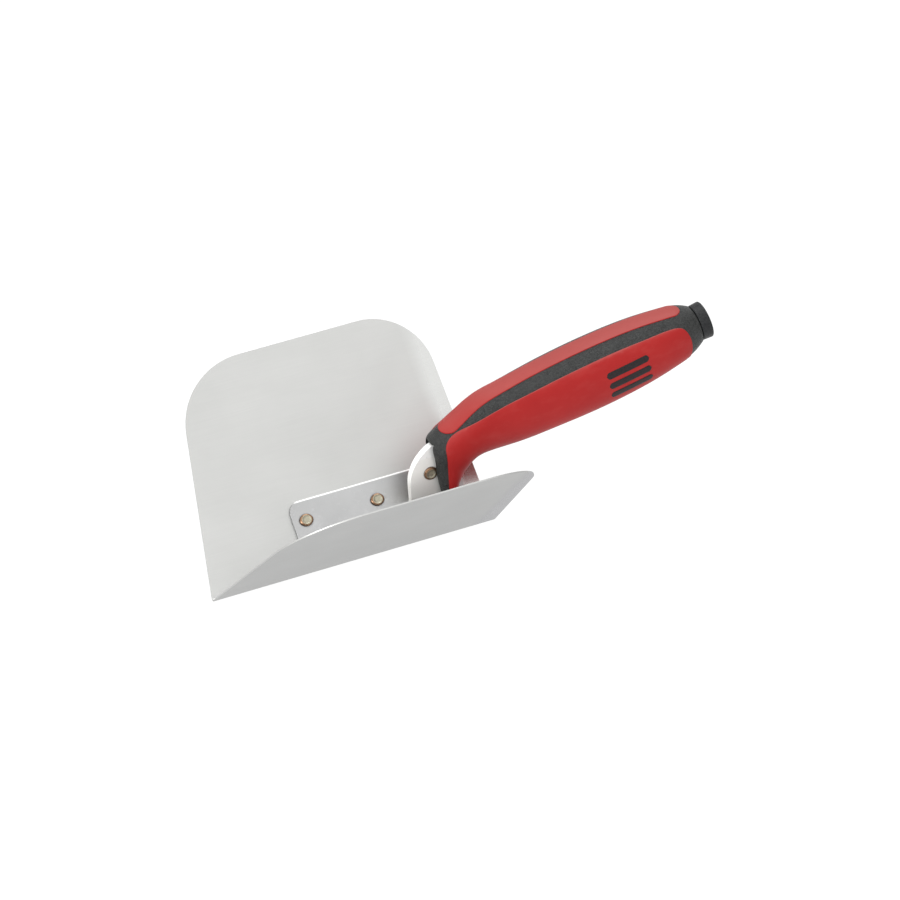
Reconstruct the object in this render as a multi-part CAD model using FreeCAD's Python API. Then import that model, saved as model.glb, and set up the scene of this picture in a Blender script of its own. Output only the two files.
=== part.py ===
import FreeCAD, Part
import math
import os

# Inside corner trowel: a folded stainless blade, a two-part riveted bracket and a
# two-colour handle. All sizes are in millimetres. X runs along the fold from its
# front tip towards the handle end, Z is up in the plane that halves the opening of
# the blade, and the two sides are mirror images in Y.
# While the pieces are made, X = 0 is the front tip of the fold and Z = 0 is where the
# middle surfaces of the wings would meet. At the end everything is moved so that the
# origin is at the centre of the underside of the whole tool.

# --- blade --------------------------------------------------------------------------
opening = 90.0                 # angle between the two wings, degrees
fold_length = 125.0            # length of the fold along the bottom
wing_width = 95.7              # from the fold to the upper edge of a wing
front_setback = 17.0           # how far the front edge leans back at its top
rear_setback = 3.1             # how far the rear edge leans forward at its top
front_corner_radius = 32.3
rear_corner_radius = 25.7
sheet = 0.6                    # thickness of the blade
fold_radius = 1.1              # bend radius of the middle surface of the blade

# --- bracket ------------------------------------------------------------------------
plate = 1.6                    # thickness of each bracket half
flange_front = 42.5            # front end of the flanges, from the tip of the fold
flange_length = 74.4
flange_top = 29.7              # height of the flange edge, measured along the wing
flange_corner_radius = 5.0
flange_bend_radius = 1.0       # inside the bend where the flange turns into the web
web_front = 88.8               # front edge of the web
web_rear = 104.8
web_arc_radius = 18.7          # the front edge curves back to the tang on this arc
web_arc_height = 27.9          # height at which the arc starts
tang_height = 9.0              # strip of the web that runs up inside the handle
tang_reach = 34.0              # how far the tang runs past the end of the arc
tang_fillet = 4.0

# --- studs, rivets and pins ---------------------------------------------------------
stud_pitch = 31.5
stud_inset = 5.7               # first stud, from the front end of the flange
stud_height = 21.1             # measured along the wing
weld_foot_radius = 3.5         # foot of the stud, welded to the blade under the flange
weld_foot_height = 0.5
shank_radius = 2.0
head_radius = 2.9
head_height = 0.9
head_rim = 0.35                # height of the straight rim under the dome
dome_out = 0.3                 # how far the shoulder of the dome stands outside the
dome_drop = 0.15               # half-way point, and how far it lies below the top
dimple_radius = 1.5            # flat centre left by the peening tool
dimple_depth = 0.15
web_rivet_x = 98.0
web_rivet_z = 32.1
tang_rivet_step = 12.0         # hidden rivet, from the end of the arc along the tang
pin_radius = 1.5
pin_length = 16.0
pin_steps = (20.0, 28.0)       # cross pins, from the end of the arc along the tang

# --- handle -------------------------------------------------------------------------
axis_angle = 10.5              # slope of the handle axis above the fold, degrees
axis_x = 117.5                 # a point on the handle axis, above the foot
axis_z = 47.3
pivot_x = 121.0                # the sections of the foot fan out from this point
pivot_z = 21.0
foot_bottom = 16.0
foot_step = 3.0                # spacing of the upright sections below the pivot
foot_steps = 3                 # and how many there are
# foot: angle of the section, near and far distance from the pivot, half width
foot_sections = (
    (180.0, 12.6, 20.1, 8.8),
    (165.0, 12.5, 21.6, 9.0),
    (150.0, 12.3, 25.1, 9.3),
    (137.0, 12.1, 30.6, 9.5),
    (132.0, 12.2, 33.6, 9.6),
    (126.0, 12.4, 34.2, 9.8),
    (115.0, 13.3, 34.3, 10.0),
    (100.5, 14.3, 36.7, 10.3),
)
# grip: distance along the axis, half height, half width
grip_sections = (
    (13.7, 13.6, 11.5),
    (31.0, 14.7, 12.9),
    (49.3, 15.3, 13.6),
    (67.6, 15.0, 13.4),
    (81.9, 13.8, 12.6),
    (92.4, 12.3, 11.3),
    (97.1, 11.3, 10.3),
    (101.0, 9.6, 9.1),
    (103.4, 8.1, 8.1),
)
squareness = 2.2               # exponent of the oval sections; 2 would be an ellipse
half_points = 8                # points on each half of an oval section
pole_rounds = 12               # corrections that bring the surface onto those points
pole_lag = -1                  # shift between a pole and the parameter it rules
skin = 2.2                     # thickness of the soft panels
panel_step = 0.3               # how far the soft panels stand above the hard core
mouth_half_width = 3.6         # open slot in the front of the foot around the web
mouth_depth = 102.5            # rear wall of that slot, from the tip of the fold
mouth_ceiling = 46.0

# soft panel on top: a long strip with round ends, along the handle axis; it is
# wider over the foot
strip_front = -13.1
strip_rear = 98.4
strip_wide = 5.9               # half width at the front
strip_narrow = 4.4             # half width from the taper's end to the rear
strip_taper_end = 24.0
strip_taper_radius = 80.0
strip_roundness = 0.95         # end radius, as a share of the half width there
# soft sleeve: its front edge is upright, its upper edge runs through these points,
# given along the axis and above it
sleeve_front = 103.0
sleeve_front_top = 44.5
sleeve_edge = ((-13.5, 2.2), (-11.0, 4.0), (-3.3, 6.2), (8.0, 8.2), (22.8, 9.6),
               (37.5, 10.6), (52.3, 11.0), (67.0, 10.8), (81.7, 9.7), (91.0, 8.5),
               (95.4, 6.6), (96.9, 3.4), (97.2, -2.0), (96.0, -20.0))

# --- end cap ------------------------------------------------------------------------
cap_front_radius = 7.6
cap_rear_radius = 7.9
cap_length = 4.6
cap_front_edge = 0.3           # rounding of the edge next to the groove
cap_edge = 0.6                 # rounding of the outer edge
neck_radius = 6.8              # narrow groove between the cap and the handle
neck_length = 0.5
stem_radius = 4.5              # plug inside the handle
stem_length = 12.0

reach = 60.0                   # half width of the cutting blocks
half_opening = math.radians(opening / 2)
slope = math.radians(axis_angle)
handle_end = grip_sections[-1][0]


def vec(x, y, z):
    return FreeCAD.Vector(x, y, z)


def rounded_face(corners):
    """Face in the XY plane; each corner is x, y and the radius of its rounding."""
    edges = []
    stops = []
    count = len(corners)
    for i in range(count):
        here = vec(corners[i][0], corners[i][1], 0)
        before = vec(corners[i - 1][0], corners[i - 1][1], 0) - here
        after = vec(corners[(i + 1) % count][0], corners[(i + 1) % count][1], 0) - here
        before.normalize()
        after.normalize()
        radius = corners[i][2]
        half = before.getAngle(after) / 2
        start = here + before * (radius / math.tan(half))
        end = here + after * (radius / math.tan(half))
        if radius > 0:
            inward = (before + after).normalize()
            middle = here + inward * (radius / math.sin(half) - radius)
            edges.append(Part.Arc(start, middle, end).toShape())
        stops.append((start, end))
    for i in range(count):
        if stops[i - 1][1].distanceToPoint(stops[i][0]) > 1e-6:
            edges.append(Part.makeLine(stops[i - 1][1], stops[i][0]))
    return Part.Face(Part.Wire(Part.__sortEdges__(edges)))


def on_wing(shape):
    """Move a shape from wing coordinates (along the fold, up the wing, inward from
    the middle of the sheet) to the far wing."""
    s = math.sin(half_opening)
    c = math.cos(half_opening)
    shape.Placement = FreeCAD.Placement(FreeCAD.Matrix(1, 0, 0, 0, 0, s, -c, 0, 0, c, s, 0))
    return shape


def mirrored(shape):
    return shape.mirror(vec(0, 0, 0), vec(0, 1, 0))


def bend(middle, inner, outer, start, end, x_from, x_to):
    """Bent strip along X: a sector between two radii, angles from +Y towards +Z."""
    def at(radius, angle):
        turn = math.radians(angle)
        return vec(x_from, middle.y + radius * math.cos(turn), middle.z + radius * math.sin(turn))
    half = (start + end) / 2
    edges = [
        Part.Arc(at(outer, start), at(outer, half), at(outer, end)).toShape(),
        Part.makeLine(at(outer, end), at(inner, end)),
        Part.Arc(at(inner, end), at(inner, half), at(inner, start)).toShape(),
        Part.makeLine(at(inner, start), at(outer, start)),
    ]
    return Part.Face(Part.Wire(edges)).extrude(vec(x_to - x_from, 0, 0))


def on_axis(distance, above=0.0):
    """Point in the middle plane, along the handle axis and square to it."""
    x = axis_x + distance * math.cos(slope) - above * math.sin(slope)
    z = axis_z + distance * math.sin(slope) + above * math.cos(slope)
    return vec(x, 0, z)


# --- blade --------------------------------------------------------------------------
def blade():
    """One sheet, folded along the middle."""
    start = fold_radius * math.tan(math.pi / 2 - half_opening)
    low = start / wing_width
    wing = rounded_face((
        (front_setback * low, start, 0),
        (front_setback, wing_width, front_corner_radius),
        (fold_length - rear_setback, wing_width, rear_corner_radius),
        (fold_length - rear_setback * low, start, 0),
    ))
    wing.translate(vec(0, 0, -sheet / 2))
    far_wing = on_wing(wing.extrude(vec(0, 0, sheet)).removeSplitter())
    middle = vec(0, 0, fold_radius / math.sin(half_opening))
    turned = 90 - opening / 2
    fold = bend(middle, fold_radius - sheet / 2, fold_radius + sheet / 2,
                270 - turned, 270 + turned, front_setback * low, fold_length - rear_setback * low)
    return far_wing.fuse([mirrored(far_wing), fold]).removeSplitter()


# --- bracket ------------------------------------------------------------------------
def web_middle():
    """Centre of the bend between the flange and the web of the far bracket half."""
    side = plate + flange_bend_radius
    inward = sheet / 2 + plate + flange_bend_radius
    return vec(0, side, (inward + side * math.cos(half_opening)) / math.sin(half_opening))


def tang_start():
    """Where the front arc of the web ends and the tang begins, on its upper edge."""
    turn = math.pi / 2 + slope
    x = web_front + web_arc_radius * (1 + math.cos(turn))
    return vec(x, 0, web_arc_height + web_arc_radius * math.sin(turn))


def along_tang(step, below=tang_height / 2):
    start = tang_start()
    x = start.x + step * math.cos(slope) + below * math.sin(slope)
    return vec(x, 0, start.z + step * math.sin(slope) - below * math.cos(slope))


def web():
    """Upright plate with a round front edge and a tang that runs into the handle."""
    bottom = web_middle().z
    half_turn = (math.pi / 2 + slope + math.pi) / 2
    arc_middle = vec(web_front + web_arc_radius * (1 + math.cos(half_turn)), 0,
                     web_arc_height + web_arc_radius * math.sin(half_turn))
    low_end = along_tang(tang_reach, tang_height)
    rise = (low_end.x - web_rear) * math.tan(slope)
    inner_corner = vec(web_rear, 0, low_end.z - rise)
    half = (math.pi / 2 + slope) / 2
    cut = tang_fillet / math.tan(half)
    outward = vec(math.cos(-math.pi / 2 + half), 0, math.sin(-math.pi / 2 + half))
    fillet_low = inner_corner - vec(0, 0, cut)
    fillet_high = inner_corner + vec(cut * math.cos(slope), 0, cut * math.sin(slope))
    fillet_middle = inner_corner + outward * (tang_fillet / math.sin(half) - tang_fillet)
    edges = [
        Part.makeLine(vec(web_rear, 0, bottom), vec(web_front, 0, bottom)),
        Part.makeLine(vec(web_front, 0, bottom), vec(web_front, 0, web_arc_height)),
        Part.Arc(vec(web_front, 0, web_arc_height), arc_middle, tang_start()).toShape(),
        Part.makeLine(tang_start(), along_tang(tang_reach, 0)),
        Part.Arc(along_tang(tang_reach, 0), along_tang(tang_reach + tang_height / 2),
                 low_end).toShape(),
        Part.makeLine(low_end, fillet_high),
        Part.Arc(fillet_high, fillet_middle, fillet_low).toShape(),
        Part.makeLine(fillet_low, vec(web_rear, 0, bottom)),
    ]
    return Part.Face(Part.Wire(edges)).extrude(vec(0, plate, 0))


def stud_places():
    return [(flange_front + stud_inset + i * stud_pitch, stud_height) for i in range(3)]


def bracket_half():
    """Far half: flange on the wing, sharp bend near the fold, web up the middle."""
    middle = web_middle()
    low = middle.y * math.sin(half_opening) + middle.z * math.cos(half_opening)
    flange = rounded_face((
        (flange_front, low, 0),
        (flange_front, flange_top, flange_corner_radius),
        (flange_front + flange_length, flange_top, flange_corner_radius),
        (flange_front + flange_length, low, 0),
    )).extrude(vec(0, 0, plate))
    for x, height in stud_places():
        hole = Part.makeCylinder(shank_radius, plate, vec(x, height, 0))
        recess = Part.makeCylinder(weld_foot_radius, weld_foot_height, vec(x, height, 0))
        flange = flange.cut(hole).cut(recess)
    flange.translate(vec(0, 0, sheet / 2))
    corner = bend(middle, flange_bend_radius, flange_bend_radius + plate,
                  180, 360 - opening / 2, web_front, web_rear)
    half = on_wing(flange).fuse([corner, web()]).removeSplitter()
    return half.cut(web_rivets())


# --- studs, rivets and pins ---------------------------------------------------------
def head(direction):
    """Peened head, a low dome with a flat centre; it stands on Z = 0 and up."""
    side = [vec(0, 0, 0), vec(head_radius, 0, 0), vec(head_radius, 0, head_rim)]
    rim_top = vec(dimple_radius, 0, head_height)
    bulge = vec((head_radius + dimple_radius) / 2 + dome_out, 0, head_height - dome_drop)
    floor = vec(0, 0, head_height - dimple_depth)
    edges = [
        Part.makeLine(side[0], side[1]),
        Part.makeLine(side[1], side[2]),
        Part.Arc(side[2], bulge, rim_top).toShape(),
        Part.makeLine(rim_top, floor),
        Part.makeLine(floor, side[0]),
    ]
    solid = Part.Face(Part.Wire(edges)).revolve(vec(0, 0, 0), vec(0, 0, 1), 360)
    if direction < 0:
        solid.rotate(vec(0, 0, 0), vec(1, 0, 0), 180)
    return solid


def stud(x, height):
    """Stud welded to the blade through the flange and peened over it."""
    foot = Part.makeCylinder(weld_foot_radius, weld_foot_height, vec(x, height, sheet / 2))
    shank = Part.makeCylinder(shank_radius, plate, vec(x, height, sheet / 2))
    top = head(1)
    top.translate(vec(x, height, sheet / 2 + plate))
    return on_wing(foot.fuse([shank, top]).removeSplitter())


def studs():
    return Part.makeCompound([stud(x, height) for x, height in stud_places()])


def web_rivet(x, z):
    """Rivet through both webs, with a head on each side."""
    shank = Part.makeCylinder(shank_radius, 2 * plate, vec(0, 0, -plate))
    near = head(-1)
    near.translate(vec(0, 0, -plate))
    far = head(1)
    far.translate(vec(0, 0, plate))
    rivet = shank.fuse([near, far]).removeSplitter()
    rivet.rotate(vec(0, 0, 0), vec(1, 0, 0), -90)
    rivet.translate(vec(x, 0, z))
    return rivet


def web_rivets():
    hidden = along_tang(tang_rivet_step)
    return Part.makeCompound([
        web_rivet(web_rivet_x, web_rivet_z),
        web_rivet(hidden.x, hidden.z),
    ])


def tang_pins():
    pins = []
    for step in pin_steps:
        place = along_tang(step) - vec(0, pin_length / 2, 0)
        pins.append(Part.makeCylinder(pin_radius, pin_length, place, vec(0, 1, 0)))
    return Part.makeCompound(pins)


# --- handle -------------------------------------------------------------------------
def oval(middle, upward, half_height, half_width):
    """Points round an oval section; upward lies in the middle plane, the width in Y."""
    points = []
    for step in range(2 * half_points):
        c = math.cos(math.pi * step / half_points)
        s = math.sin(math.pi * step / half_points)
        up = math.copysign(abs(c) ** (2 / squareness), c) * half_height
        out = math.copysign(abs(s) ** (2 / squareness), s) * half_width
        points.append(middle + upward * up + vec(0, out, 0))
    return points


def smooth_skin(rows):
    """Surface through closed rows of points, smooth both along and around."""
    along = [0.0]
    for before, after in zip(rows, rows[1:]):
        gaps = [p.distanceToPoint(q) for p, q in zip(before, after)]
        along.append(along[-1] + sum(gaps) / len(gaps))
    inner = []
    for i in range(1, len(rows) - 3):
        inner.append(sum(along[i:i + 3]) / 3)
    knots = [along[0]] + inner + [along[-1]]
    mults = [4] + [1] * len(inner) + [4]
    count = len(rows[0])
    poles = [list(row) for row in rows]
    for turn in range(pole_rounds):
        surface = Part.BSplineSurface()
        surface.buildFromPolesMultsKnots(poles, mults, [1] * (count + 1), knots,
                                         list(range(count + 1)), False, True, 3, 3)
        for i in range(len(rows)):
            for j in range(count):
                miss = rows[i][j] - surface.value(along[i], (j + pole_lag) % count)
                poles[i][j] = poles[i][j] + miss
    return surface


def handle_form(inset):
    """Outer form of the handle, smaller all round by inset: foot, hood and grip."""
    rows = []
    for angle, near, far, half_width in foot_sections:
        turn = math.radians(angle)
        direction = vec(math.cos(turn), 0, math.sin(turn))
        middle = vec(pivot_x, 0, pivot_z) + direction * ((near + far) / 2)
        size = ((far - near) / 2 - inset, half_width - inset)
        if not rows:
            for i in range(foot_steps, 0, -1):
                rows.append(oval(middle - vec(0, 0, i * foot_step), direction, *size))
        rows.append(oval(middle, direction, *size))
    upward = vec(-math.sin(slope), 0, math.cos(slope))
    for distance, half_height, half_width in grip_sections:
        rows.append(oval(on_axis(distance), upward, half_height - inset, half_width - inset))
    side = smooth_skin(rows).toShape()
    faces = [side]
    for edge in side.Edges:
        if edge.isClosed() and not edge.isSeam(side):
            faces.append(Part.Face(Part.Wire(edge)))
    shell = Part.Shell(faces)
    shell.sewShape()
    form = Part.Solid(shell)
    below = Part.makeBox(reach, reach, foot_bottom, vec(pivot_x - reach, -reach / 2, 0))
    return form.cut(below)


def strip_zone():
    """Everything above the outline of the soft strip, which runs along the axis."""
    wide = strip_wide
    narrow = strip_narrow
    outline = rounded_face((
        (strip_front, -wide, strip_roundness * wide),
        (strip_taper_end, -narrow, strip_taper_radius),
        (strip_rear, -narrow, strip_roundness * narrow),
        (strip_rear, narrow, strip_roundness * narrow),
        (strip_taper_end, narrow, strip_taper_radius),
        (strip_front, wide, strip_roundness * wide),
    ))
    zone = outline.extrude(vec(0, 0, reach))
    zone.rotate(vec(0, 0, 0), vec(0, 1, 0), -axis_angle)
    zone.translate(vec(axis_x, 0, axis_z))
    return zone


def sleeve_zone():
    """Everything below the upper edge of the soft sleeve, right across the handle."""
    points = [vec(sleeve_front, 0, sleeve_front_top)]
    for distance, above in sleeve_edge:
        points.append(on_axis(distance, above))
    edge = Part.BSplineCurve()
    edge.interpolate(points)
    corners = [points[-1], vec(points[-1].x, 0, 0), vec(sleeve_front, 0, 0), points[0]]
    edges = [edge.toShape()]
    for i in range(3):
        edges.append(Part.makeLine(corners[i], corners[i + 1]))
    zone = Part.Face(Part.Wire(edges)).extrude(vec(0, reach, 0))
    zone.translate(vec(0, -reach / 2, 0))
    return zone


def grip_shell():
    return handle_form(0).cut(handle_form(skin))


def top_strip():
    return grip_shell().common(strip_zone())


def grip_sleeve():
    return grip_shell().common(sleeve_zone())


def mouth():
    """Slot in the front of the foot that leaves the web free."""
    low = vec(web_front, -mouth_half_width, 0)
    return Part.makeBox(mouth_depth - web_front, 2 * mouth_half_width, mouth_ceiling, low)


def handle_core():
    """Hard inner part: rim of the mouth, stripes between the soft panels, rear ring."""
    form = handle_form(panel_step)
    inside = handle_form(skin)
    core = form.cut(mouth())
    for zone in (strip_zone(), sleeve_zone()):
        core = core.cut(form.common(zone).cut(inside))
    for piece in (web(), mirrored(web()), web_rivets(), tang_pins(), end_cap()):
        core = core.cut(piece)
    return core


# --- end cap ------------------------------------------------------------------------
def end_cap():
    """Plug in the end of the handle, turned about the handle axis."""
    front = neck_length
    rear = neck_length + cap_length
    profile = rounded_face((
        (-stem_length, 0, 0),
        (-stem_length, stem_radius, 0),
        (0, stem_radius, 0),
        (0, neck_radius, 0),
        (front, neck_radius, 0),
        (front, cap_front_radius, cap_front_edge),
        (rear, cap_rear_radius, cap_edge),
        (rear, 0, 0),
    ))
    cap = profile.revolve(vec(0, 0, 0), vec(1, 0, 0), 360)
    cap.rotate(vec(0, 0, 0), vec(0, 1, 0), -axis_angle)
    cap.translate(on_axis(handle_end))
    return cap


def place(shapes):
    """Move all pieces so that the origin is under the middle of the whole tool."""
    box = Part.makeCompound(list(shapes.values())).optimalBoundingBox(False, False)
    shift = vec(-(box.XMin + box.XMax) / 2, 0, -box.ZMin)
    for shape in shapes.values():
        shape.translate(shift)
    print("moved by", shift)


far_half = bracket_half()
far_studs = studs()
pieces = {
    "blade": blade(),
    "bracket_far_half": far_half,
    "bracket_near_half": mirrored(far_half),
    "far_wing_studs": far_studs,
    "near_wing_studs": mirrored(far_studs),
    "web_rivets": web_rivets(),
    "tang_pins": tang_pins(),
    "handle_core": handle_core(),
    "top_grip_strip": top_strip(),
    "grip_sleeve": grip_sleeve(),
    "end_cap": end_cap(),
}
place(pieces)
os.makedirs("parts", exist_ok=True)
for name, shape in pieces.items():
    print(name, "solids", len(shape.Solids), "valid", shape.isValid())
    shape.exportStep("parts/" + name + ".step")
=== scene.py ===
import bpy
import bmesh
import math
from mathutils import Matrix, Vector


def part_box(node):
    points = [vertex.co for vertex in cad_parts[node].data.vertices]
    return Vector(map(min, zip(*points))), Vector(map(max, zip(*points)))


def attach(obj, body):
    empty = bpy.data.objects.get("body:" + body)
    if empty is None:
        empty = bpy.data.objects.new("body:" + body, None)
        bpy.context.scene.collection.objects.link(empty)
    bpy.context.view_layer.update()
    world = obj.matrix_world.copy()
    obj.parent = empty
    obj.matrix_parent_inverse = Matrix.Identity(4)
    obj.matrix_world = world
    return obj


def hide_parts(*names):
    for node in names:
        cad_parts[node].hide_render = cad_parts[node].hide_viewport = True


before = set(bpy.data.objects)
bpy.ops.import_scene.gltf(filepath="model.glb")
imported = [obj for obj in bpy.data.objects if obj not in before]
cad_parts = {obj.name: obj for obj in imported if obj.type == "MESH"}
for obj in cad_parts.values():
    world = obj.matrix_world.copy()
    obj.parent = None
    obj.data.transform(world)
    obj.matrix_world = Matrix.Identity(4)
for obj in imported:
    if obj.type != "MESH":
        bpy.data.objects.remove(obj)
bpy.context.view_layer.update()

# ---------------------------------------------------------------- blade
# One sheet of stainless steel 0.6 mm thick, cut to shape and folded along the middle
# to a right angle. Its two outer faces do the work. It is satin from the rolling mill,
# with the sheared edges lightly rounded and fine lines along the fold from use.
fold_length = 0.125
wing_width = 0.0957
front_lean = 0.017
rear_lean = 0.0031
front_corner = 0.0323
rear_corner = 0.0257
sheet = 0.0006
fold_radius = 0.0011
fold_tip = Vector((-0.11285578, 0, -0.00015563))
slant = math.sqrt(0.5)
width_steps = 28
length_steps = 56
fold_steps = 10
edge_round = 0.00014


def corner_x(height, lean, radius):
    """How far the end of a wing is set back at a height, with its round top corner."""
    tilt = lean / wing_width
    length = math.sqrt(1 + tilt * tilt)
    centre = wing_width - radius
    if height < centre + radius * tilt / length:
        return tilt * height
    run = max(radius * radius - (height - centre) ** 2, 0)
    return tilt * centre + radius * length - math.sqrt(run)


def finish_mesh(name, bm):
    """Turns a bmesh into a smooth-shaded object with the given name."""
    bmesh.ops.recalc_face_normals(bm, faces=bm.faces)
    mesh = bpy.data.meshes.new(name)
    bm.to_mesh(mesh)
    bm.free()
    for face in mesh.polygons:
        face.use_smooth = True
    made = bpy.data.objects.new(name, mesh)
    bpy.context.scene.collection.objects.link(made)
    return made


heights = []
for step in range(width_steps + 1):
    share = step / width_steps
    heights.append(wing_width - (wing_width - fold_radius) * share ** 2)
fold_middle = fold_radius / slant
stations = []
for height in heights:
    stations.append((height, Vector((0, slant * height, slant * height))))
for step in range(1, fold_steps):
    turn = math.radians(315 - 90 * step / fold_steps)
    point = Vector((0, fold_radius * math.cos(turn), fold_middle + fold_radius * math.sin(turn)))
    stations.append((fold_radius, point))
for height in reversed(heights):
    stations.append((height, Vector((0, -slant * height, slant * height))))
bm = bmesh.new()
grid = []
for height, place in stations:
    front = corner_x(height, front_lean, front_corner)
    rear = fold_length - corner_x(height, rear_lean, rear_corner)
    line = []
    for column in range(length_steps + 1):
        x = front + (rear - front) * column / length_steps
        line.append(bm.verts.new(fold_tip + place + Vector((x, 0, 0))))
    grid.append(line)
for upper, lower in zip(grid, grid[1:]):
    for column in range(length_steps):
        bm.faces.new((upper[column], upper[column + 1], lower[column + 1], lower[column]))
blade = finish_mesh("blade_sheet", bm)
thick = blade.modifiers.new("sheet", "SOLIDIFY")
thick.thickness = sheet
thick.offset = 0
edges = blade.modifiers.new("rounded_edges", "BEVEL")
edges.width = edge_round
edges.segments = 3
edges.limit_method = "ANGLE"
edges.angle_limit = math.radians(50)
edges.harden_normals = True


def material(name, roughness, metallic=0.0):
    """A new material: its node tree, the shader and the object coordinates."""
    made = bpy.data.materials.new(name)
    made.use_nodes = True
    tree = made.node_tree
    shader = tree.nodes["Principled BSDF"]
    shader.inputs["Metallic"].default_value = metallic
    shader.inputs["Roughness"].default_value = roughness
    place = tree.nodes.new("ShaderNodeTexCoord").outputs["Object"]
    return made, tree, shader, place


def noise(tree, place, scale, stretch=(1, 1, 1), detail=4.0, rough=0.55):
    """Noise with so many cells per metre, stretched along the axes."""
    mapping = tree.nodes.new("ShaderNodeMapping")
    mapping.inputs["Scale"].default_value = stretch
    tree.links.new(place, mapping.inputs["Vector"])
    node = tree.nodes.new("ShaderNodeTexNoise")
    node.inputs["Scale"].default_value = scale
    node.inputs["Detail"].default_value = detail
    node.inputs["Roughness"].default_value = rough
    tree.links.new(mapping.outputs["Vector"], node.inputs["Vector"])
    return node.outputs["Fac"]


def graded(tree, value, low, high, start=0.3, end=0.7):
    """Spreads a 0-1 value between two numbers."""
    node = tree.nodes.new("ShaderNodeMapRange")
    node.inputs["From Min"].default_value = start
    node.inputs["From Max"].default_value = end
    node.inputs["To Min"].default_value = low
    node.inputs["To Max"].default_value = high
    tree.links.new(value, node.inputs["Value"])
    return node.outputs["Result"]


def mixed(tree, value, first, second):
    """Blends two colours, or two sockets, by a value."""
    node = tree.nodes.new("ShaderNodeMix")
    node.data_type = "RGBA"
    tree.links.new(value, node.inputs["Factor"])
    for index, colour in ((6, first), (7, second)):
        if isinstance(colour, tuple):
            node.inputs[index].default_value = (*colour, 1)
        else:
            tree.links.new(colour, node.inputs[index])
    return node.outputs[2]


def bump(tree, shader, value, depth, strength=1.0, under=None):
    """Raises the surface by value times depth, on top of another bump."""
    node = tree.nodes.new("ShaderNodeBump")
    node.inputs["Strength"].default_value = strength
    node.inputs["Distance"].default_value = depth
    tree.links.new(value, node.inputs["Height"])
    if under is not None:
        tree.links.new(under, node.inputs["Normal"])
    tree.links.new(node.outputs["Normal"], shader.inputs["Normal"])
    return node.outputs["Normal"]


blade_steel, tree, shader, place = material("blade_steel", 0.5, 1.0)
cloud = noise(tree, place, 22, (1, 1, 1), 3.0)
smear = noise(tree, place, 60, (0.6, 1, 1), 4.0)
lines = noise(tree, place, 2400, (0.02, 1, 1), 4.0, 0.6)
tone = mixed(tree, graded(tree, cloud, 0, 1), (0.525, 0.528, 0.515), (0.560, 0.562, 0.550))
tone = mixed(tree, graded(tree, lines, 0, 0.16), tone, (0.44, 0.44, 0.44))
tree.links.new(tone, shader.inputs["Base Color"])
split = tree.nodes.new("ShaderNodeSeparateXYZ")
tree.links.new(place, split.inputs["Vector"])
rubbed = graded(tree, split.outputs["X"], 0.0, 1.0, 0.000, 0.006)
satin = graded(tree, smear, 0.47, 0.55)
polished = graded(tree, smear, 0.20, 0.26)
tree.links.new(mixed(tree, rubbed, satin, polished), shader.inputs["Roughness"])
shader.inputs["Specular Tint"].default_value = (0.66, 0.66, 0.68, 1)
bump(tree, shader, lines, 0.000001, 0.4)
blade.data.materials.append(blade_steel)
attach(blade, "root")
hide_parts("blade")

# ---------------------------------------------------------------- bracket
# Two mirror-image halves pressed from 1.6 mm stainless strip, each a flange on a wing and an
# upright web. The webs lie back to back and run up into the handle. Their blanked edges are tumbled
# smooth. The web faces carry a painted highlight, pale and less metallic, with painted shade making
# them darker towards the bottom; the flanges carry a painted highlight along their top edges and
# painted shade in the corners where they meet the wing.
web_reach = 0.00155
web_fades = 0.0019
edge_highlight_from = 0.0408
edge_highlight_full = 0.0413
painted_shade_reach = 0.0016
bracket_edge = 0.0005
bracket_steel, tree, shader, place = material("bracket_steel", 0.3, 1.0)
cloud = noise(tree, place, 60, (1, 1, 1), 3.0)
scuffs = noise(tree, place, 420, (1, 1, 1), 5.0, 0.7)
grain = noise(tree, place, 2600, (0.15, 1, 0.5), 4.0, 0.7)
tone = mixed(tree, graded(tree, cloud, 0, 1), (0.388, 0.390, 0.390), (0.438, 0.440, 0.440))
tone = mixed(tree, graded(tree, scuffs, 0, 0.5, 0.55, 0.8), tone, (0.60, 0.60, 0.60))
split = tree.nodes.new("ShaderNodeSeparateXYZ")
tree.links.new(place, split.inputs["Vector"])
sideways = tree.nodes.new("ShaderNodeMath")
sideways.operation = "ABSOLUTE"
tree.links.new(split.outputs["Y"], sideways.inputs[0])
# Painted highlight: close to the middle plane the web colour is painted near white. Painted shade
# makes it darker towards the bottom of the web.
painted_web_highlight_mask = graded(tree, sideways.outputs[0], 1.0, 0.0, web_reach, web_fades)
painted_web_shade_low = graded(tree, split.outputs["Z"], 0.45, 1.0, 0.020, 0.034)
painted_web_highlight = mixed(tree, painted_web_shade_low, (0.42, 0.41, 0.38), (0.99, 0.98, 0.95))
tone = mixed(tree, painted_web_highlight_mask, tone, painted_web_highlight)
# Painted highlight: a near-white band along the top edges of the flanges, set by position.
up_wing = tree.nodes.new("ShaderNodeMath")
up_wing.operation = "ADD"
tree.links.new(sideways.outputs[0], up_wing.inputs[0])
tree.links.new(split.outputs["Z"], up_wing.inputs[1])
painted_edge_highlight = graded(tree, up_wing.outputs[0], 0.0, 1.0, edge_highlight_from, edge_highlight_full)
tone = mixed(tree, painted_edge_highlight, tone, (0.95, 0.95, 0.94))
# Painted shade: ambient occlusion turns the colour nearly black in the corners where the bracket
# meets the wing.
painted_corner_shade = tree.nodes.new("ShaderNodeAmbientOcclusion")
painted_corner_shade.samples = 8
painted_corner_shade.inputs["Distance"].default_value = painted_shade_reach
tone = mixed(tree, graded(tree, painted_corner_shade.outputs["AO"], 0, 1, 0.45, 0.85), (0.06, 0.06, 0.06), tone)
tree.links.new(tone, shader.inputs["Base Color"])
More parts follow.
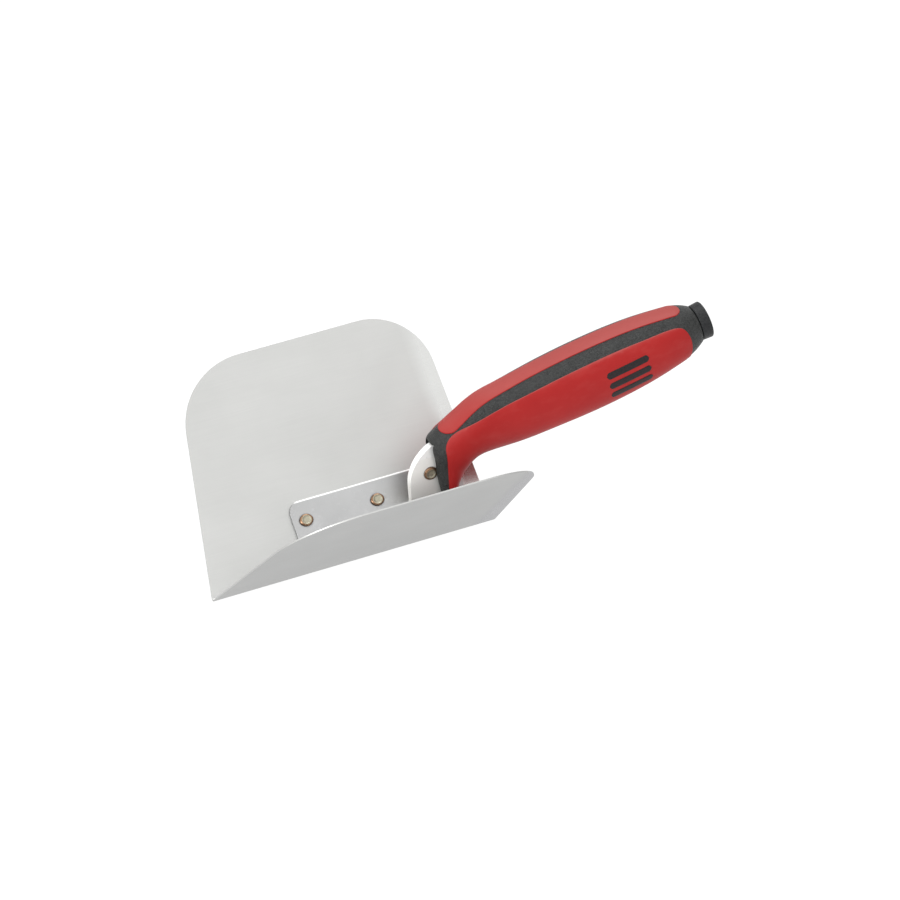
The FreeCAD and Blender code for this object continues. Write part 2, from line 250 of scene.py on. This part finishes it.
# The metal is lowered where the highlights are painted, so the painted colour shows.
metal_lowered_for_painted_highlight = mixed(tree, painted_edge_highlight, graded(tree, painted_web_highlight_mask, 1.0, 0.15, 0, 1), (0.3, 0.3, 0.3))
tree.links.new(metal_lowered_for_painted_highlight, shader.inputs["Metallic"])
tree.links.new(graded(tree, scuffs, 0.27, 0.38), shader.inputs["Roughness"])
bump(tree, shader, grain, 0.000002, 0.4)
for name in ("bracket_far_half", "bracket_near_half"):
    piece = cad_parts[name]
    join = piece.modifiers.new("join", "WELD")
    join.merge_threshold = 0.000001
    flat = piece.modifiers.new("flat", "DECIMATE")
    flat.decimate_type = "DISSOLVE"
    flat.angle_limit = math.radians(0.5)
    edges = piece.modifiers.new("rounded_edges", "BEVEL")
    edges.width = bracket_edge
    edges.segments = 4
    edges.limit_method = "ANGLE"
    edges.angle_limit = math.radians(40)
    edges.harden_normals = True
    piece.data.materials.clear()
    piece.data.materials.append(bracket_steel)

# ---------------------------------------------------------------- studs
# Three short studs on each wing, copper plated for stud welding. They come up through
# the flange and are peened over it into low round heads. The hammer has worn the
# plating off the flat centre of each head, which shows dull grey-brown metal.
shank_radius = 0.002
foot_radius = 0.0035
foot_thick = 0.0005
plate = 0.0016
head_radius = 0.0029
head_height = 0.0009
head_rim = 0.00035
worn_radius = 0.0018
worn_depth = 0.00015
dome_steps = 8
head_points = 48
first_stud = 0.0482
stud_pitch = 0.0315
stud_height = 0.0211
stud_flat = 0.2


def head_line(base, way):
    """Outline of a peened head: radius and height from its rim to its centre."""
    line = [(head_radius, base), (head_radius, base + way * head_rim)]
    for step in range(1, dome_steps + 1):
        turn = math.radians(90 * step / dome_steps)
        radius = worn_radius + (head_radius - worn_radius) * math.cos(turn)
        line.append((radius, base + way * (head_rim + (head_height - head_rim) * math.sin(turn))))
    line.append((worn_radius * 0.93, base + way * (head_height - 0.3 * worn_depth)))
    line.append((worn_radius * 0.8, base + way * (head_height - worn_depth)))
    line.append((worn_radius * 0.4, base + way * (head_height - 0.8 * worn_depth)))
    line.append((0, base + way * (head_height - 0.75 * worn_depth)))
    return line


def turned(bm, line, where, flat=0.0):
    """Turns an outline round the Z axis, flattens the head a little and places it."""
    rings = []
    worn = bm.verts.layers.float["worn"]
    for radius, height in line:
        ring = []
        for step in range(head_points if radius > 0 else 1):
            turn = 2 * math.pi * step / head_points
            squeeze = 1 - flat * (0.85 + 0.15 * math.cos(2 * turn)) * (radius / head_radius) ** 2
            across = radius * math.sin(turn) * squeeze
            vert = bm.verts.new(where @ Vector((radius * math.cos(turn), across, height)))
            vert[worn] = radius / head_radius
            ring.append(vert)
        rings.append(ring)
    for lower, upper in zip(rings, rings[1:]):
        for step in range(head_points):
            after = (step + 1) % head_points
            if len(upper) == 1:
                bm.faces.new((lower[step], lower[after], upper[0]))
            elif len(lower) == 1:
                bm.faces.new((lower[0], upper[after], upper[step]))
            else:
                bm.faces.new((lower[step], lower[after], upper[after], upper[step]))


copper, tree, shader, place = material("copper_plate", 0.35, 0.9)
worn = tree.nodes.new("ShaderNodeAttribute")
worn.attribute_name = "worn"
patches = noise(tree, place, 1400, (1, 1, 1), 4.0, 0.6)
fine = noise(tree, place, 5200, (1, 1, 1), 3.0, 0.6)
worn_limit = tree.nodes.new("ShaderNodeMath")
worn_limit.operation = "MULTIPLY_ADD"
worn_limit.inputs[1].default_value = 0.25
tree.links.new(patches, worn_limit.inputs[0])
tree.links.new(worn.outputs["Fac"], worn_limit.inputs[2])
plated = mixed(tree, graded(tree, patches, 0, 1), (0.16, 0.085, 0.05), (0.42, 0.26, 0.16))
middle = mixed(tree, graded(tree, fine, 0, 1), (0.28, 0.26, 0.19), (0.50, 0.47, 0.37))
tone = mixed(tree, graded(tree, worn_limit.outputs[0], 0, 1, 0.80, 0.90), middle, plated)
tree.links.new(tone, shader.inputs["Base Color"])
tree.links.new(graded(tree, patches, 0.30, 0.48), shader.inputs["Roughness"])
bump(tree, shader, fine, 0.00002, 0.6)
stud_line = [(0, 0), (foot_radius, 0), (foot_radius, foot_thick), (shank_radius, foot_thick),
             (shank_radius, plate)] + head_line(plate, 1)
for side, node in ((1, "far_wing_studs"), (-1, "near_wing_studs")):
    bm = bmesh.new()
    bm.verts.layers.float.new("worn")
    for step in range(3):
        along = first_stud + stud_pitch * step
        out = slant * stud_height
        base = fold_tip + Vector((along, side * out, out))
        inward = Vector((0, -side * slant, slant))
        wing_way = Vector((0, side * slant, slant))
        turn = Matrix((Vector((1, 0, 0)), wing_way, inward)).transposed().to_4x4()
        if side < 0:
            turn = turn @ Matrix.Rotation(math.radians(180), 4, "Z")
        turned(bm, stud_line, Matrix.Translation(base + inward * sheet / 2) @ turn, stud_flat)
    piece = finish_mesh(node + "_peened", bm)
    piece.data.materials.append(copper)
    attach(piece, "root")
    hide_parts(node)

# ---------------------------------------------------------------- web rivets
# Two copper-plated rivets clamp the webs together, a visible one in front of the
# handle's mouth and one inside the handle. Both ends are peened like the studs.
bm = bmesh.new()
bm.verts.layers.float.new("worn")
rivet_line = list(reversed(head_line(-plate, -1))) + [(shank_radius, -plate), (shank_radius, plate)]
rivet_line = rivet_line + head_line(plate, 1)
rivets_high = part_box("web_rivets")[1]
seen = Vector((-0.01485578, 0, 0.03194437))
hidden = Vector((rivets_high.x - head_radius, 0, rivets_high.z - head_radius))
for spot in (seen, hidden):
    turn = Matrix.Rotation(math.radians(-90), 4, "X")
    turned(bm, rivet_line, Matrix.Translation(spot) @ turn)
rivets = finish_mesh("web_rivets_peened", bm)
rivets.data.materials.append(copper)
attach(rivets, "root")
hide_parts("web_rivets")

# ---------------------------------------------------------------- tang pins
# Two plain turned steel pins cross the tang inside the handle and keep it from
# pulling out. They can't be seen once the handle is moulded.
pin_steel, tree, shader, place = material("pin_steel", 0.35, 1.0)
tool_marks = noise(tree, place, 3000, (1, 0.1, 1), 3.0)
tone = mixed(tree, graded(tree, tool_marks, 0, 1), (0.40, 0.40, 0.41), (0.56, 0.56, 0.57))
tree.links.new(tone, shader.inputs["Base Color"])
tree.links.new(graded(tree, tool_marks, 0.28, 0.42), shader.inputs["Roughness"])
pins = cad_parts["tang_pins"]
pins.data.materials.clear()
pins.data.materials.append(pin_steel)

# ---------------------------------------------------------------- handle core
# The hard inner part of the handle, moulded in black nylon over the tang. It shows
# between the red panels, round the mouth in front and as a ring at the rear. The mould
# leaves a fine sandy grain on it that scatters the light into small grey specks.
black_core, tree, shader, place = material("black_core", 0.5)
sand = noise(tree, place, 3200, (1, 1, 1), 3.0, 0.6)
flecks = noise(tree, place, 1000, (1, 1, 1), 5.0, 0.7)
blotch = noise(tree, place, 160, (1, 1, 1), 3.0)
tone = mixed(tree, graded(tree, flecks, 0, 1), (0.000, 0.001, 0.001), (0.040, 0.041, 0.040))
tone = mixed(tree, graded(tree, blotch, 0, 0.4), tone, (0.006, 0.007, 0.006))
tree.links.new(tone, shader.inputs["Base Color"])
tree.links.new(graded(tree, flecks, 0.34, 0.52), shader.inputs["Roughness"])
shader.inputs["Specular IOR Level"].default_value = 0.42
low = bump(tree, shader, flecks, 0.0006, 1.0)
bump(tree, shader, sand, 0.00008, 1.0, low)
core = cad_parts["handle_core"]
core.data.materials.clear()
core.data.materials.append(black_core)

# ---------------------------------------------------------------- red panels
# Soft red rubber moulded onto the core: a long strip on top and a sleeve round the
# sides and the underside. It stands a little above the black and its edges are round.
# The skin is silky and matt, and paler where it is rubbed. Surfaces that face upwards carry a
# painted sheen, paler and pinker.
panel_edge = 0.00022
red_grip, tree, shader, place = material("red_grip", 0.5)
cloud = noise(tree, place, 45, (1, 1, 1), 4.0)
skin = noise(tree, place, 2600, (1, 1, 1), 3.0, 0.6)
rubbed = noise(tree, place, 240, (0.5, 1, 1), 4.0)
tone = mixed(tree, graded(tree, cloud, 0, 1), (0.300, 0.010, 0.010), (0.340, 0.014, 0.013))
tone = mixed(tree, graded(tree, rubbed, 0, 0.14, 0.5, 0.8), tone, (0.45, 0.09, 0.08))
# Painted sheen: the colour turns paler and pinker where the surface faces upwards.
faces = tree.nodes.new("ShaderNodeNewGeometry")
split = tree.nodes.new("ShaderNodeSeparateXYZ")
tree.links.new(faces.outputs["Normal"], split.inputs["Vector"])
upper = graded(tree, split.outputs["Z"], 0, 0.42, 0.55, 1.0)
tone = mixed(tree, upper, tone, (0.33, 0.115, 0.103))
tree.links.new(tone, shader.inputs["Base Color"])
tree.links.new(graded(tree, rubbed, 0.46, 0.56), shader.inputs["Roughness"])
shader.inputs["Specular IOR Level"].default_value = 0.2
bump(tree, shader, skin, 0.00002, 0.5)
for name in ("top_grip_strip", "grip_sleeve"):
    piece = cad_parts[name]
    join = piece.modifiers.new("join", "WELD")
    join.merge_threshold = 0.000001
    edges = piece.modifiers.new("rounded_edges", "BEVEL")
    edges.width = panel_edge
    edges.segments = 3
    edges.limit_method = "ANGLE"
    edges.angle_limit = math.radians(50)
    edges.harden_normals = True
    piece.data.materials.clear()
    piece.data.materials.append(red_grip)

# ---------------------------------------------------------------- side mark
# A plain mark of three black bars with round ends, pad printed on the near side of the
# sleeve towards the rear. The ink lies on the rubber and follows its curve.
axis_point = Vector((0.00464422, 0, 0.04714437))
handle_slope = math.radians(10.5)
along = Vector((math.cos(handle_slope), 0, math.sin(handle_slope)))
upward = Vector((-along.z, 0, along.x))
mark_middle = 0.0672
bar_places = (0.0037, -0.0012, -0.0061)
bar_length = 0.0195
bar_half = 0.0015
bar_steps = 40
rows_across = 7
outside = Vector((0, -0.02, 0))
ink_lift = 0.00006
ink_thick = 0.0001
bm = bmesh.new()
for middle in bar_places:
    grid = []
    for column in range(bar_steps + 1):
        run = bar_length * (column / bar_steps - 0.5)
        past = max(abs(run) - (bar_length / 2 - bar_half), 0) / bar_half
        tall = bar_half * math.sqrt(max(1 - past * past, 0.01))
        line = []
        for row in range(rows_across):
            lift = middle + tall * (2 * row / (rows_across - 1) - 1)
            spot = axis_point + along * (mark_middle + run) + upward * lift
            line.append(bm.verts.new(spot + outside))
        grid.append(line)
    for left, right in zip(grid, grid[1:]):
        for row in range(rows_across - 1):
            bm.faces.new((left[row], right[row], right[row + 1], left[row + 1]))
mark = finish_mesh("side_mark", bm)
wrap = mark.modifiers.new("follow", "SHRINKWRAP")
wrap.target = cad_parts["grip_sleeve"]
wrap.wrap_method = "PROJECT"
wrap.use_project_y = True
wrap.use_positive_direction = True
wrap.use_negative_direction = False
wrap.offset = ink_lift
thick = mark.modifiers.new("ink", "SOLIDIFY")
thick.thickness = ink_thick
thick.offset = 0
ink, tree, shader, place = material("mark_ink", 0.5)
worn_ink = noise(tree, place, 1100, (1, 1, 1), 5.0, 0.7)
tone = mixed(tree, graded(tree, worn_ink, 0, 1), (0.005, 0.004, 0.005), (0.022, 0.016, 0.017))
tree.links.new(tone, shader.inputs["Base Color"])
tree.links.new(graded(tree, worn_ink, 0.42, 0.6), shader.inputs["Roughness"])
shader.inputs["Specular IOR Level"].default_value = 0.25
bump(tree, shader, worn_ink, 0.00003, 0.5)
mark.data.materials.append(ink)
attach(mark, "root")

# ---------------------------------------------------------------- end cap
# A turned black plug that closes the end of the handle behind a narrow groove. Its
# rim is a plain cylinder with a round outer edge and the same grain as the core.
black_cap, tree, shader, place = material("black_cap", 0.45)
sand = noise(tree, place, 3000, (1, 1, 1), 3.0, 0.6)
flecks = noise(tree, place, 1200, (1, 1, 1), 5.0, 0.65)
tone = mixed(tree, graded(tree, flecks, 0, 1), (0.001, 0.002, 0.003), (0.020, 0.021, 0.022))
tree.links.new(tone, shader.inputs["Base Color"])
tree.links.new(graded(tree, flecks, 0.36, 0.52), shader.inputs["Roughness"])
shader.inputs["Specular IOR Level"].default_value = 0.3
low = bump(tree, shader, flecks, 0.0003, 0.8)
bump(tree, shader, sand, 0.00005, 0.8, low)
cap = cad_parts["end_cap"]
cap.data.materials.clear()
cap.data.materials.append(black_cap)

# ---------------------------------------------------------------- studio
# A white light table under the tool in an even white room, with three soft lights: a
# large one in front, a small one behind and one at the side that fills in the foot.
table_top, tree, shader, place = material("light_table", 0.9)
shader.inputs["Base Color"].default_value = (0.08, 0.08, 0.08, 1)
shader.inputs["Emission Color"].default_value = (1, 1, 1, 1)
shader.inputs["Emission Strength"].default_value = 0.94
bm = bmesh.new()
bmesh.ops.create_grid(bm, x_segments=8, y_segments=8, size=20)
floor = finish_mesh("floor", bm)
floor.data.materials.append(table_top)

world = bpy.data.worlds.new("room")
world.use_nodes = True
tree = world.node_tree
facing = tree.nodes.new("ShaderNodeTexCoord").outputs["Generated"]
split = tree.nodes.new("ShaderNodeSeparateXYZ")
tree.links.new(facing, split.inputs["Vector"])
shade = graded(tree, split.outputs["X"], 1.0, 0.72, -1, 1)
tree.links.new(shade, tree.nodes["Background"].inputs["Color"])
tree.nodes["Background"].inputs["Strength"].default_value = 0.95
bpy.context.scene.world = world

target = Vector((0, 0, 0.04))


def soft_light(name, where, wide, power):
    """A square softbox that faces the tool."""
    lamp = bpy.data.lights.new(name, "AREA")
    lamp.shape = "SQUARE"
    lamp.size = wide
    lamp.energy = power
    made = bpy.data.objects.new(name, lamp)
    made.location = where
    made.rotation_euler = (target - Vector(where)).to_track_quat("-Z", "Y").to_euler()
    bpy.context.scene.collection.objects.link(made)


soft_light("front_light", (0.2, -1.0, 1.5), 1.6, 5.5)
soft_light("back_light", (0.45, 0.55, 1.5), 0.7, 11)
soft_light("side_light", (-1.3, -0.9, 0.75), 0.8, 19)

camera_data = bpy.data.cameras.new("camera")
camera_data.sensor_width = 36
camera_data.lens = 226.3723
camera_data.clip_start = 0.05
camera_data.clip_end = 50
camera = bpy.data.objects.new("camera", camera_data)
across = Vector((0.91525771, -0.39822005, -0.06102553))
down = Vector((-0.26344889, -0.47700925, -0.83848486))
into = Vector((0.30479174, 0.78350684, -0.54149702))
turn = Matrix((across, -down, -into)).transposed().to_4x4()
camera.matrix_world = Matrix.Translation((-0.70713129, -1.80480659, 1.28649152)) @ turn
bpy.context.scene.collection.objects.link(camera)
bpy.context.scene.camera = camera
bpy.context.scene.view_settings.view_transform = "Standard"
